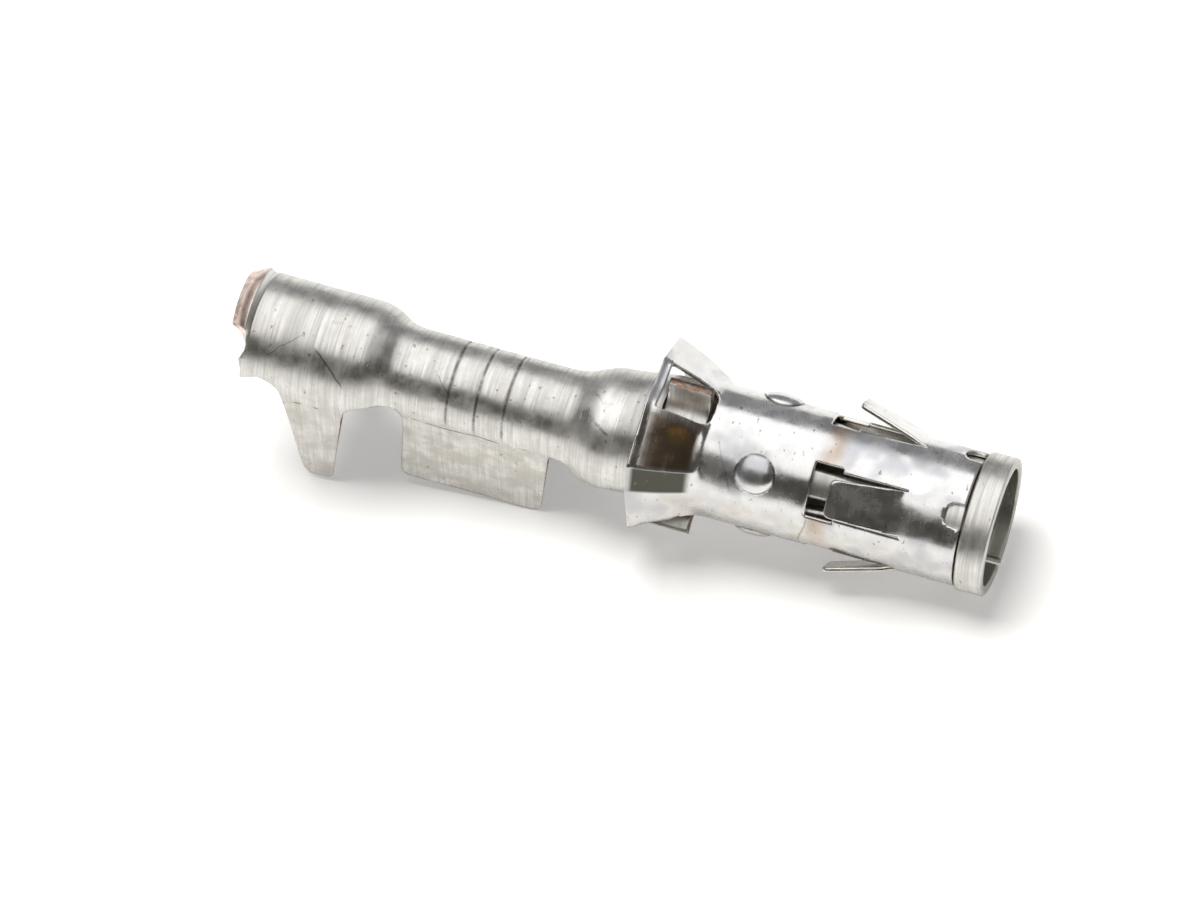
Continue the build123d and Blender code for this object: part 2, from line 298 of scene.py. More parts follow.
def outerPlace(p, segments):
    best, found = 1e9, None
    for a, b, outA, outB in segments:
        if min(a.x, b.x) - 0.01 > p.x or max(a.x, b.x) + 0.01 < p.x:
            continue
        if min(a.y, b.y) - 0.01 > p.y or max(a.y, b.y) + 0.01 < p.y:
            continue
        d = b - a
        t = min(max((p - a).dot(d) / max(d.length_squared, 1e-12), 0), 1)
        gap = (a + d * t - p).length
        if gap < best:
            best, found = gap, outA.lerp(outB, t)
    return (found.x, found.y) if found else (p.x, p.y)


def rolledSheet(name, islands, stationLines, widthLines, edge, shapeOf):
    # shapeOf(station, width) gives the outer and the inner point of the rolled sheet
    places, faces, rimEdges, rimPlace = flatPattern(islands, stationLines, widthLines, edge)
    verts, pattern, cut = [], [], []

    def add(s, w, share, onCut):
        outer, inner = shapeOf(s, w)
        local = outer.lerp(inner, share)
        verts.append(setInPlace(*local))
        pattern.append((s, w, share))
        cut.append(onCut)
        return len(verts) - 1

    top = [add(s, w, 0, 0) for s, w in places]
    low = [add(s, w, 1, 0) for s, w in places]
    wall = {}
    for i, (s, w) in rimPlace.items():
        outer, inner = shapeOf(s, w)
        share = edge / max((outer - inner).length, 1e-6)
        wall[i] = (add(s, w, share, 1), add(s, w, 1 - share, 1))
    solid = [[top[i] for i in f] for f in faces] + [[low[i] for i in reversed(f)] for f in faces]
    for a, b in rimEdges:
        solid.append([top[b], top[a], wall[a][0], wall[b][0]])
        solid.append([wall[b][0], wall[a][0], wall[a][1], wall[b][1]])
        solid.append([wall[b][1], wall[a][1], low[a], low[b]])
    mesh = bpy.data.meshes.new(name)
    mesh.from_pydata(verts, [], solid)
    mesh.validate()
    mesh.update()
    for polygon in mesh.polygons:
        polygon.use_smooth = True
    storePattern(mesh, pattern, cut)
    return addObject(name, mesh)


def storePattern(mesh, pattern, cut):
    # the finishes read these: place on the flat pattern, and 1 on a sheared face
    placeData = mesh.attributes.new("pattern", "FLOAT_VECTOR", "POINT")
    placeData.data.foreach_set("vector", [c for p in pattern for c in p])
    cutData = mesh.attributes.new("cutFace", "FLOAT", "POINT")
    cutData.data.foreach_set("value", cut)


lugAngles = (90, -37, -143)   # round the tube; the collar's windows stand over them

# the contact: ring, tube, neck and both barrels
contactSizes = {
    "stock": 0.32,
    "edge": 0.03,             # rounding of the sheared edges
    "widthScale": 1.9,        # flat pattern width for one radian
    "seamGap": 0.14,
    "ringGap": 0.26,
    "fingerFront": 1.45,
    "fingerBack": 8.6,
    "lugFront": 9.12,
    "lugLength": 1.36,
    "lugReach": 1.36,         # how far round the tube the wall belongs to a lug
    "lugBend": 0.72,
    "lugTurn": 68.0,
    "lugStraight": 0.26,
    "lugStart": 16.0,
    "lugMargin": 0.08,
    "grooves": (15.35, 16.25, 17.15),
    "grooveDent": 0.022,
    "tabEnd": 24.15,
    "tabLift": 0.24,
    "tabLean": 0.12,          # its far corner reaches further back
    "tabSlant": 0.74,
    "backEdge": 23.65,
    "sway": 0.035,            # how far the wings wave in and out
    "wingLean": 0.02,
    "ripple": 0.010,
}
# wall radii as (station, radius)
outerRadius = [
    (0, 2.095), (0.05, 2.13), (0.80, 2.13), (0.86, 2.10), (0.91, 1.92), (0.97, 1.88), (1.5, 1.88),
    (8.6, 1.88), (9.0, 1.88), (11.0, 1.88), (11.8, 1.87), (12.3, 1.86), (12.8, 1.72), (13.3, 1.50),
    (13.8, 1.41), (14.1, 1.40), (18.6, 1.40), (19.0, 1.45), (19.5, 1.70),
    (19.9, 1.84), (20.2, 1.87), (24.5, 1.87),
]
innerRadius = [
    (0, 1.85), (0.05, 1.81), (0.42, 1.81), (0.50, 1.78), (0.58, 1.60), (0.66, 1.56), (8.6, 1.56),
    (11.0, 1.56), (11.8, 1.55), (12.3, 1.54), (12.8, 1.40), (13.3, 1.18), (13.8, 1.09), (14.1, 1.08),
    (18.6, 1.08), (19.0, 1.13), (19.5, 1.38), (19.9, 1.52), (20.2, 1.55), (24.5, 1.55),
]
# how far the barrels lie below the socket's axis, and how far they are open below
barrelDrop = [(10.5, 0), (11.2, 0.16), (12.2, 0.36), (13.2, 0.38), (13.9, 0.35), (24.5, 0.35)]
openShare = [(12.0, 0), (12.5, 0.12), (13.0, 0.5), (13.5, 0.88), (13.9, 1)]


def channelPoint(station, q, radius):
    # q is the angle from the top; past a quarter turn the wings run straight down where the barrel is open
    opened = softCurve(openShare, station)
    side = 1 if q >= 0 else -1
    turn = abs(q)
    roundY, roundZ = sin(min(turn, pi)), cos(min(turn, pi))
    if turn <= pi / 2:
        flatY, flatZ = roundY, roundZ
    else:
        flatY, flatZ = 1, pi / 2 - turn
    y = roundY + (flatY - roundY) * opened
    z = roundZ + (flatZ - roundZ) * opened
    return Vector((station, -side * y * radius, z * radius - softCurve(barrelDrop, station)))


def widthAtDepth(station, depth):
    # pattern width at which the wall is that far below the axis
    low, high = pi / 2 - 0.6, pi / 2 + 3.4
    if softCurve(openShare, station) < 0.999:
        high = pi
    radius = softCurve(outerRadius, station)
    for _ in range(40):
        mid = (low + high) / 2
        if channelPoint(station, mid, radius).z > -depth:
            low = mid
        else:
            high = mid
    return low * contactSizes["widthScale"]


def contactShape(station, width):
    c = contactSizes
    q = width / c["widthScale"]
    alpha = 90 - degrees(q)
    radius = softCurve(outerRadius, station)
    inside = softCurve(innerRadius, station)
    # a lug is bent outwards about a line along the tube
    if c["lugFront"] - 0.02 <= station <= c["lugFront"] + c["lugLength"] + 0.02:
        for angle in lugAngles:
            root = angle - c["lugStart"]
            along = radians((alpha - root) % 360) * (radius - c["stock"] / 2)
            if along < c["lugReach"]:
                return lugPoint(station, root, along, radius)
    outer = channelPoint(station, q, radius)
    inner = channelPoint(station, q, inside)
    if station > 13:
        # the real wings aren't quite flat, and the barrel walls wave a little
        sway = c["sway"] * noise.noise(Vector((station * 0.45, q * 1.3, 4.0)))
        drawn = ramp(abs(q), pi / 2, pi / 2 + 0.8)
        lean = c["wingLean"] * drawn * max(abs(q) - pi / 2, 0)
        shift = Vector((0, (sway - lean) * (-1 if q >= 0 else 1), 0)) * drawn
        outer += shift
        inner += shift
    ripple = c["ripple"] * noise.noise(Vector((station * 1.1, q * 2.4, 1.7)))
    for groove in c["grooves"]:
        ripple -= c["grooveDent"] * bump(station, groove, 0.055) * (1 - ramp(abs(width), 2.9, 3.6))
    if station > c["backEdge"] - 0.3:
        lift = c["tabLift"] * max(station - c["backEdge"], 0) / (c["tabEnd"] - c["backEdge"])
        outer.z += lift
        inner.z += lift
        # the tab was sheared off on a slant, so its end face looks up
        outer.x -= max(station - c["backEdge"] + 0.2, 0) * c["tabSlant"] * ramp(abs(alpha - 90), 60, 40)
    wall = (outer - inner).normalized()
    return outer + wall * ripple, inner + wall * ripple


def directions(angle):
    # away from the axis, and round it towards the far side
    a = radians(angle)
    return Vector((0, -cos(a), sin(a))), Vector((0, sin(a), cos(a)))


def lugPoint(station, root, along, radius):
    c = contactSizes
    outward, tangent = directions(root)
    middle = c["lugBend"] + c["stock"] / 2
    phi = min(along / middle, radians(c["lugTurn"]))
    rest = max(along - middle * radians(c["lugTurn"]), 0)
    out = []
    for r in (c["lugBend"], c["lugBend"] + c["stock"]):
        p = tangent * (r * sin(phi)) + outward * (radius + c["lugBend"] - r * cos(phi))
        p += (tangent * cos(phi) + outward * sin(phi)) * rest
        out.append(Vector((station, p.y, p.z)))
    return out


def contactIslands():
    c = contactSizes
    k = c["widthScale"]

    def seam(station):
        return (pi - c["seamGap"] / 2 / softCurve(outerRadius, station)) * k

    ringBack = c["fingerFront"] + 0.05
    ringHalf = (pi - c["ringGap"] / 2 / outerRadius[1][1]) * k
    ring = [(0, -ringHalf), (ringBack, -ringHalf), (ringBack, ringHalf), (0, ringHalf)]
    # lower edge of the rear part, from the fingers to the back, as (station, depth, radius)
    archAndWings = roundedLine([
        (12.25, 2.30, 0), (12.72, 1.41, 0.2), (13.1, 0.86, 0.25), (13.4, 0.72, 0.18), (13.86, 0.80, 0.2),
        (13.95, 1.67, 0.2), (14.2, 3.93, 0.46), (18.76, 3.93, 0.3), (18.56, 0.86, 0.18), (18.76, 0.50, 0.2),
        (19.12, 0.31, 0.2), (19.74, 0.32, 0.25), (20.22, 0.58, 0.25), (20.38, 1.0, 0.25), (20.86, 4.40, 0.2),
        (20.97, 4.56, 0.1), (21.63, 4.64, 0.12), (21.84, 4.40, 0.15), (22.29, 1.15, 0.25), (22.44, 0.40, 0.3),
        (22.86, 0.12, 0.25), (23.3, 0.09, 0),
    ], 4)
    edgeLine = [(c["fingerBack"] - 0.05, seam(9)), (11.0, seam(11)), (12.1, seam(12.1))]
    for (a, b), (e, f) in zip(archAndWings, archAndWings[1:]):
        parts = max(1, int(hypot(e - a, f - b) / 0.25))
        for i in range(parts):
            s = a + (e - a) * i / parts
            d = b + (f - b) * i / parts
            width = widthAtDepth(s, d)
            edgeLine.append((s, min(width, seam(s)) if s < 12.9 else width))
    # notched back corner and the cut-off tab
    def atAlpha(alpha):
        return radians(90 - alpha) * k
    back = [
        (23.68, atAlpha(-1)), (23.64, atAlpha(12)), (23.72, atAlpha(22)), (23.58, atAlpha(34)),
        (23.62, atAlpha(40)), (23.78, atAlpha(45)), (23.86, atAlpha(48)), (c["tabEnd"], atAlpha(50)),
    ]
    near = edgeLine + back
    far = [(s, -w) for s, w in near]
    far[-1] = (far[-1][0] + c["tabLean"], far[-1][1])
    rear = far + near[::-1]
    return [(ring, []), (rear, [lugHole(angle) for angle in lugAngles])]


def lugHole(angle):
    # opening round a lug, open along the line where the lug is bent
    c = contactSizes
    middle = softCurve(outerRadius, 9.8) - c["stock"] / 2
    span = (c["lugBend"] + c["stock"] / 2) * radians(c["lugTurn"]) + c["lugStraight"]
    front, back = c["lugFront"], c["lugFront"] + c["lugLength"]
    m = c["lugMargin"]

    def w(along):
        alpha = angle - c["lugStart"] + degrees(along / middle)
        q = 90 - alpha
        if q > 180:
            q -= 360
        return radians(q) * c["widthScale"]
    root, tip = w(0), w(span)
    slant = w(0.03)           # the ends of the side cuts aren't in one line, so the pattern stays whole there
    gap = w(span + 0.12)
    return [
        (front - m, slant), (front - m, gap), (back + m, gap), (back + m, slant), (back, root), (back, tip),
        (front, tip), (front, root),
    ]


def makeContact():
    c = contactSizes
    stations = stepped(0, 24.6, 0.16, [
        (0, 0.1, 0.025), (0.4, 0.7, 0.04), (0.78, 1.0, 0.03),
        *[(g - 0.14, g + 0.14, 0.035) for g in c["grooves"]], (18.7, 20.3, 0.08), (9.1, 10.5, 0.1),
    ])
    widths = stepped(-8.5, 8.5, 0.13)
    piece = rolledSheet("contactShell", contactIslands(), stations, widths, c["edge"], contactShape)
    print("contact shell", len(piece.data.polygons), "faces")
    return piece


# the spring fingers: one finger repeated round the axis
fingerSizes = {
    "inputs": {               # of the node tree
        "Finger Count": 8, "Gap": 0.50, "Front Station": 1.45, "Back Station": 8.6,
        "Seat Radius": 1.88, "Land Radius": 1.57, "Thickness": 0.32,
    },
    "firstAngle": -4.5,
    "insideBelow": 1.5,       # inner faces lie within this radius
    # how far it is pinched in along its length
    "pinch": ((0.06, 0.04), (0.19, 0.97), (0.26, 1.0), (0.33, 0.97), (0.62, 0.42), (0.88, 0.06)),
}


def fingerTree():
    tree = bpy.data.node_groups.new("springFingers", "GeometryNodeTree")
    for label, value in fingerSizes["inputs"].items():
        addSockets(tree, "INPUT", "Int" if isinstance(value, int) else "Float", label)
    addSockets(tree, "INPUT", "Material", "Finish")
    addSockets(tree, "OUTPUT", "Geometry", "Fingers")
    w = Wiring(tree)
    given = w.add("NodeGroupInput").outputs
    length = w.minus(given["Back Station"], given["Front Station"])
    # a flat strip, bent round the axis and pinched towards the land
    strip = w.add("GeometryNodeMeshGrid", {
        "Vertices X": 56, "Vertices Y": 9, "Size X": length, "Size Y": 1.0,
    })
    flat = w.add("ShaderNodeSeparateXYZ", {0: w.add("GeometryNodeInputPosition").outputs[0]}).outputs
    share = w.plus(w.maths("DIVIDE", flat["X"], length), 0.5)
    pinch = w.add("ShaderNodeFloatCurve", {"Value": share})
    curve = pinch.mapping.curves[0]
    curve.points[0].location = (0.0, 0.0)
    curve.points[1].location = (1.0, 0.0)
    for x, y in fingerSizes["pinch"]:
        curve.points.new(x, y)
    pinch.mapping.update()
    drop = w.times(w.minus(given["Seat Radius"], given["Land Radius"]), pinch.outputs[0])
    radius = w.minus(given["Seat Radius"], drop)
    fullTurn = w.maths("DIVIDE", 2 * pi, given["Finger Count"])
    fingerTurn = w.minus(fullTurn, w.maths("DIVIDE", given["Gap"], given["Seat Radius"]))
    angle = w.times(flat["Y"], fingerTurn)
    station = w.plus(given["Front Station"], w.times(share, length))
    spot = w.add("ShaderNodeCombineXYZ", {
        "X": w.times(station, -1.0), "Y": w.times(radius, w.maths("SINE", angle)),
        "Z": w.times(radius, w.maths("COSINE", angle)),
    })
    bent = w.add("GeometryNodeSetPosition", {"Geometry": strip.outputs["Mesh"], "Position": spot.outputs[0]})
    thick = w.add("GeometryNodeExtrudeMesh", {
        "Mesh": bent.outputs[0], "Offset Scale": given["Thickness"], "Individual": False,
    })
    flipped = w.add("GeometryNodeFlipFaces", {0: bent.outputs[0]})
    both = w.add("GeometryNodeJoinGeometry", {0: thick.outputs["Mesh"]})
    w.feed(both.inputs[0], flipped.outputs[0])
    finger = w.add("GeometryNodeMergeByDistance", {0: both.outputs[0], "Distance": 0.002})
    # repeated round the axis
    places = w.add("GeometryNodeMeshLine", {"Count": given["Finger Count"], "Offset": (0, 0, 0)})
    index = w.add("GeometryNodeInputIndex").outputs[0]
    turn = w.add("ShaderNodeCombineXYZ", {"X": w.times(index, fullTurn)})
    ring = w.add("GeometryNodeInstanceOnPoints", {
        "Points": places.outputs[0], "Instance": finger.outputs[0], "Rotation": turn.outputs[0],
    })
    real = w.add("GeometryNodeRealizeInstances", {0: ring.outputs[0]})
    smooth = w.add("GeometryNodeSetShadeSmooth", {0: real.outputs[0]})
    paint = w.add("GeometryNodeSetMaterial", {"Geometry": smooth.outputs[0], "Material": given["Finish"]})
    w.add("NodeGroupOutput", {0: paint.outputs[0]})
    return tree


def runTree(name, tree, values):
    # evaluates a tree once and keeps its result as a plain mesh
    holder = addObject(name, bpy.data.meshes.new(name + "Base"))
    modifier = holder.modifiers.new(name, "NODES")
    modifier.node_group = tree
    for item in tree.interface.items_tree:
        if item.in_out == "INPUT":
            modifier[item.identifier] = values[item.name]
    holder.update_tag()
    bpy.context.view_layer.update()
    shown = holder.evaluated_get(bpy.context.evaluated_depsgraph_get())
    mesh = bpy.data.meshes.new_from_object(shown)
    holder.modifiers.remove(modifier)
    holder.data = mesh
    return holder


def makeFingers(finish):
    f = fingerSizes
    piece = runTree("springFingers", fingerTree(), {**f["inputs"], "Finish": finish})
    mesh = piece.data
    twist = radians(f["firstAngle"])
    pattern = []
    for v in mesh.vertices:
        s, y, z = -v.co.x, v.co.y, v.co.z
        r = hypot(y, z)
        pattern.append((s, atan2(-y, z) * contactSizes["widthScale"], 1.0 if r < f["insideBelow"] else 0.0))
        v.co = setInPlace(s, y * cos(twist) - z * sin(twist), y * sin(twist) + z * cos(twist))
    storePattern(mesh, pattern, [0.0] * len(pattern))
    shell = bmesh.new()
    shell.from_mesh(mesh)
    bmesh.ops.recalc_face_normals(shell, faces=shell.faces[:])
    shell.to_mesh(mesh)
    shell.free()
    print("spring fingers", len(mesh.polygons), "faces")
    return piece


# the locking sleeve
sleeveSizes = {
    "stock": 0.14,
    "edge": 0.022,
    "radius": 2.05,
    "front": 0.92,
    "collarStart": 8.9,
    "collarEnd": 10.9,
    "collarCurve": 1.35,
    "collarLean": 0.42,
    "seamGap": 0.10,
    "rimBead": 0.045,         # the rim turns out a little more at its very end
    "angles": (45, 135, 225, 315),
    "lanceRoot": 2.7,
    "lanceTip": 4.98,
    "lanceLift": 16.5,
    "lanceBend": 0.35,
    "lanceFlat": 0.85,        # how much flatter it is than the round sleeve
    "lanceHalf": 0.71,
    "lanceTipHalf": 0.58,
    "lanceTipRound": 0.2,
    "slit": 0.025,
    "windowFront": 4.72,
    "windowBack": 5.58,
    "windowHalfAngle": 24.5,
    "dimpleStation": 7.28,
    "dimpleRadius": 0.60,
    "dimpleHeight": 0.17,
    "dimpleCurve": 0.62,
    "waves": (0.009, 0.005),  # broad and fine unevenness
    "dents": (                # station, angle, size, height
        (2.6, 84, 0.30, 0.020), (6.3, 20, 0.5, -0.016), (3.4, 5, 0.5, 0.016), (7.9, 62, 0.45, -0.014),
        (5.2, 92, 0.45, -0.014), (1.9, 38, 0.35, 0.012), (8.3, 30, 0.35, -0.015), (4.0, 112, 0.5, 0.014),
        (5.0, -5, 0.35, -0.022), (6.5, -10, 0.40, 0.020), (3.0, -18, 0.40, -0.020), (8.0, 0, 0.50, 0.018),
        (2.0, 8, 0.30, 0.016), (4.3, 8, 0.28, 0.014), (7.2, 8, 0.30, -0.018), (5.9, 4, 0.25, 0.016),
    ),
    "notchAngles": (56, 124, 236, 304),
    "notchHalf": 0.37,
    "notchDepth": 0.6,
    "rimCorners": (
        (90, 2.62), (73, 2.86), (33, 2.95), (13, 2.80), (-22, 3.02), (-37, 2.76), (-52, 2.98), (-90, 2.85),
    ),
    "rimWave": 0.05,
    "rimTongue": 0.04,        # the rim reaches a little further back at the top
    "collarWindowFront": 9.0,
    "collarWindowBack": 10.58,
    "collarWindowHalf": 0.62,
}


def rimRadius(alpha):
    # rim radius if it went evenly from corner to corner, and how much a straight stretch lies inside that
    a = (alpha + 90) % 360 - 90
    if a > 90:
        a = 180 - a
    corners = sleeveSizes["rimCorners"]
    for (a1, r1), (a2, r2) in zip(corners, corners[1:]):
        if a2 <= a <= a1:
            break
    straight = r1 * r2 * sin(radians(a1 - a2)) / (r1 * sin(radians(a1 - a)) + r2 * sin(radians(a - a2)))
    even = r1 + (r2 - r1) * (a1 - a) / (a1 - a2)
    return even, straight / even


def arcBetween(alpha, angle):
    return radians((alpha - angle + 180) % 360 - 180) * sleeveSizes["radius"]


def sleeveShape(station, width):
    c = sleeveSizes
    q = width / c["radius"]
    alpha = 90 - degrees(q)
    radius = c["radius"]
    broad, fine = c["waves"]
    swell = broad * noise.noise(Vector((station * 0.8, q * 1.9, 7.3)))
    swell += fine * noise.noise(Vector((station * 2.1, q * 4.6, 2.9)))
    if station > c["collarStart"]:
        f = min((station - c["collarStart"]) / (c["collarEnd"] - c["collarStart"]), 1.1)
        share = 1 - (1 - min(f, 1)) ** c["collarCurve"] + max(f - 1, 0) * 0.6
        share *= ramp(f, -0.02, 0.09)
        even, facet = rimRadius(alpha)
        radius += (even - radius) * share
        radius *= 1 + (facet - 1) * ramp(f, 0.0, 0.2)
        radius += c["rimBead"] * ramp(f, 0.9, 1.0)
    for angle in c["angles"]:
        off = arcBetween(alpha, angle)
        d = hypot(station - c["dimpleStation"], off)
        if d < c["dimpleRadius"]:
            swell += c["dimpleHeight"] * (1 - (d / c["dimpleRadius"]) ** 2) ** c["dimpleCurve"]
    for spot, angle, size, height in c["dents"]:
        off = arcBetween(alpha, angle)
        swell += height * exp(-((station - spot) ** 2 + off ** 2) / size ** 2)
    direction = Vector((0, -sin(q), cos(q)))
    outer = Vector((station, 0, 0)) + direction * (radius + swell)
    inner = Vector((station, 0, 0)) + direction * (radius + swell - c["stock"])
    if station > c["collarStart"]:
        lean = c["collarLean"] * ramp(station, c["collarStart"], c["collarStart"] + 0.5)
        inner += Vector((lean * c["stock"] * 0.5, 0, 0))
    # a lance turns up about its root
    if c["lanceRoot"] <= station <= c["lanceTip"] + 0.05:
        for angle in c["angles"]:
            off = arcBetween(alpha, angle)
            half = lanceHalfAt(station) + 0.025
            if abs(off) <= half:
                return lancePoint(station, q, angle, outer, inner)
    return outer, inner


def lanceHalfAt(station):
    c = sleeveSizes
    t = (station - c["lanceRoot"]) / (c["lanceTip"] - c["lanceRoot"])
    return c["lanceHalf"] + (c["lanceTipHalf"] - c["lanceHalf"]) * min(max(t, 0), 1)


def lancePoint(station, q, angle, outer, inner):
    c = sleeveSizes
    bendLength = c["lanceBend"]
    full = radians(c["lanceLift"])
    t = station - c["lanceRoot"]
    along, up = 0.0, 0.0
    steps = 6
    reach = min(t, bendLength)
    for i in range(steps):
        mid = reach * (i + 0.5) / steps
        tilt = full * mid / bendLength
        along += reach / steps * cos(tilt)
        up += reach / steps * sin(tilt)
    tilt = full * reach / bendLength
    along += (t - reach) * cos(full)
    up += (t - reach) * sin(full)
    outward, tangent = directions(angle)
    shift = Vector((along - t, 0, 0)) + outward * up
    flat = c["lanceFlat"] * ramp(t, -0.1, 0.5)
    off = arcBetween(90 - degrees(q), angle)
    plate = Vector((station, 0, 0)) + outward * (c["radius"] + 0.01) + tangent * off
    outer = outer.lerp(plate, flat)
    thick = (inner - outer).normalized() * c["stock"]
    thick = thick.lerp(outward * -c["stock"], flat)
    turned = thick * cos(tilt) + Vector((c["stock"] * sin(tilt), 0, 0))
    return outer + shift, outer + shift + turned


def sleeveIslands():
    c = sleeveSizes
    k = c["radius"]

    half = (pi - c["seamGap"] / 2 / k) * k
    notchCentres = sorted(arcBetween(90, a) for a in c["notchAngles"])
    front, notch = c["front"], c["notchHalf"]
    frontLine = [(front, -half)]
    straight = c["notchDepth"] - notch
    for centre in notchCentres:
        frontLine.append((front, centre - notch))
        for i in range(9):
            t = pi * i / 8
            frontLine.append((front + straight + notch * sin(t), centre - notch * cos(t)))
        frontLine.append((front, centre + notch))
    frontLine.append((front, half))
    backLine = []
    for i in range(73):
        width = half - 2 * half * i / 72
        alpha = 90 - degrees(width / k)
        wave = c["rimWave"] * sin(radians(alpha * 3.0)) + c["rimTongue"] * bump(alpha, 88, 22)
        backLine.append((c["collarEnd"] + wave, width))
    outer = frontLine + backLine
    holes = [lanceHole(arcBetween(90, a)) for a in c["angles"]]
    for angle in lugAngles:
        centre = arcBetween(90, angle)
        h = c["collarWindowHalf"]
        front, back = c["collarWindowFront"], c["collarWindowBack"]
        holes.append(roundedLine([
            (front, centre, 0), (front, centre + h, 0.36), (back, centre + h, 0.08),
            (back, centre - h, 0.08), (front, centre - h, 0.36), (front, centre, 0),
        ])[:-1])
    return [(outer, holes)]


def lanceHole(centre):
    c = sleeveSizes
    slit = c["lanceHalf"] + c["slit"]
    tongue = lanceHalfAt(c["lanceTip"])
    windowHalf = radians(c["windowHalfAngle"]) * c["radius"]
    root, tip = c["lanceRoot"], c["lanceTip"]
    back, front = c["windowBack"], c["windowFront"]
    points = [
        (root, slit, 0), (front, slit, 0.03), (front, windowHalf, 0.06), (back, windowHalf, 0.06),
        (back, -windowHalf, 0.06), (front, -windowHalf, 0.06), (front, -slit, 0.03), (root, -slit, 0),
        (root, -c["lanceHalf"], 0), (tip, -tongue, c["lanceTipRound"]), (tip, tongue, c["lanceTipRound"]),
        (root, c["lanceHalf"], 0),
    ]
    return [(s, centre + w) for s, w in roundedLine(points, 4)]


def makeSleeve():
    c = sleeveSizes
    k = c["radius"]
    stations = stepped(0.9, 11.1, 0.15, [
        (6.62, 7.94, 0.05), (2.7, 3.1, 0.06), (8.85, 9.5, 0.08), (10.6, 11.0, 0.05),
    ])
    dimples = [radians(angle) * k for angle in (45, 135, -45, -135)]
    widths = stepped(-6.5, 6.5, 0.13, [(w - 0.66, w + 0.66, 0.05) for w in dimples])
    piece = rolledSheet("lockingSleeve", sleeveIslands(), stations, widths, c["edge"], sleeveShape)
    print("locking sleeve", len(piece.data.polygons), "faces")
    return piece


def scratchMark(w, station, width, wander, start, end, half):
    # thin line on the flat pattern from start to end, as a mask
    reach = hypot(end[0] - start[0], end[1] - start[1])
    dx, dy = (end[0] - start[0]) / reach, (end[1] - start[1]) / reach
    ds = w.minus(station, start[0])
    dw = w.minus(width, start[1])
    along = w.plus(w.times(ds, dx), w.times(dw, dy))
    off = w.minus(w.times(ds, dy), w.times(dw, dx))
    off = w.maths("ABSOLUTE", w.plus(off, w.times(w.minus(wander, 0.5), 0.35)))
    ends = w.closeTo(along, reach / 2, reach * 0.35, reach * 0.55)
    return w.times(w.remap(off, half * 0.4, half * 1.4, 1.0, 0.0), ends)


def spotMark(w, station, width, centre, size):
    # soft round spot on the flat pattern, as a mask
    ds = w.maths("DIVIDE", w.minus(station, centre[0]), size[0])
    dw = w.maths("DIVIDE", w.minus(width, centre[1]), size[1])
    return w.remap(w.plus(w.times(ds, ds), w.times(dw, dw)), 0.0, 1.0, 1.0, 0.0)


def brushedGroup():
    # fine lines round the part and soft blotches, as masks from 0 to 1 and a height
    tree = bpy.data.node_groups.new("brushedMetal", "ShaderNodeTree")
    addSockets(tree, "INPUT", "Vector", "Vector")
    addSockets(tree, "INPUT", "Float", "Line Density")
    addSockets(tree, "OUTPUT", "Float", "Lines", "Blotches", "Specks", "Height")
    w = Wiring(tree)
    given = w.add("NodeGroupInput").outputs
    place = given["Vector"]
    parts = w.add("ShaderNodeSeparateXYZ", {0: place}).outputs
    drawn = w.add("ShaderNodeCombineXYZ", {
        "X": w.times(parts["X"], given["Line Density"]), "Y": w.times(parts["Y"], 0.55), "Z": parts["Z"],
    }).outputs[0]
    fine = w.noise(drawn, 1.0, 3.0, 0.6)
    coarse = w.noise(drawn, 0.33, 2.0, 0.5, (3.1, 7.7, 0))
    streaks = w.plus(w.times(fine, 0.6), w.times(coarse, 0.4))
    blotches = w.noise(place, 1.3, 5.0, 0.6, (11, 2, 0))
    specks = w.remap(w.noise(place, 6.5, 2.0, 0.5, (5, 9, 0), (1.0, 0.5, 1)), 0.66, 0.74)
    height = w.plus(w.times(streaks, 0.5), w.times(blotches, 0.5))
    w.add("NodeGroupOutput", {
        "Lines": w.remap(streaks, 0.33, 0.67), "Blotches": w.remap(blotches, 0.35, 0.65),
        "Specks": specks, "Height": w.minus(height, w.times(specks, 0.6)),
    })
    return tree


def startFinish(name, group, lineDensity):
    # a metal with its place on the flat pattern, the brushed masks and the mask of the sheared faces
    material = bpy.data.materials.new(name)
    w = emptyTree(material)
    place = w.add("ShaderNodeAttribute", attribute_name="pattern").outputs["Vector"]
    parts = w.add("ShaderNodeSeparateXYZ", {0: place}).outputs
    masks = w.add("ShaderNodeGroup", {"Vector": place, "Line Density": lineDensity}, node_tree=group).outputs
    cut = w.add("ShaderNodeAttribute", attribute_name="cutFace").outputs["Fac"]
    return material, w, place, parts, masks, cut


def endFinish(w, colour, rough, height, strength):
    relief = w.add("ShaderNodeBump", {"Strength": strength, "Distance": 0.00002, "Height": height})
    shader = w.add("ShaderNodeBsdfPrincipled", {
        "Metallic": 1.0, "Base Color": colour, "Roughness": rough, "Normal": relief.outputs[0],
    })
    w.add("ShaderNodeOutputMaterial", {0: shader.outputs[0]})


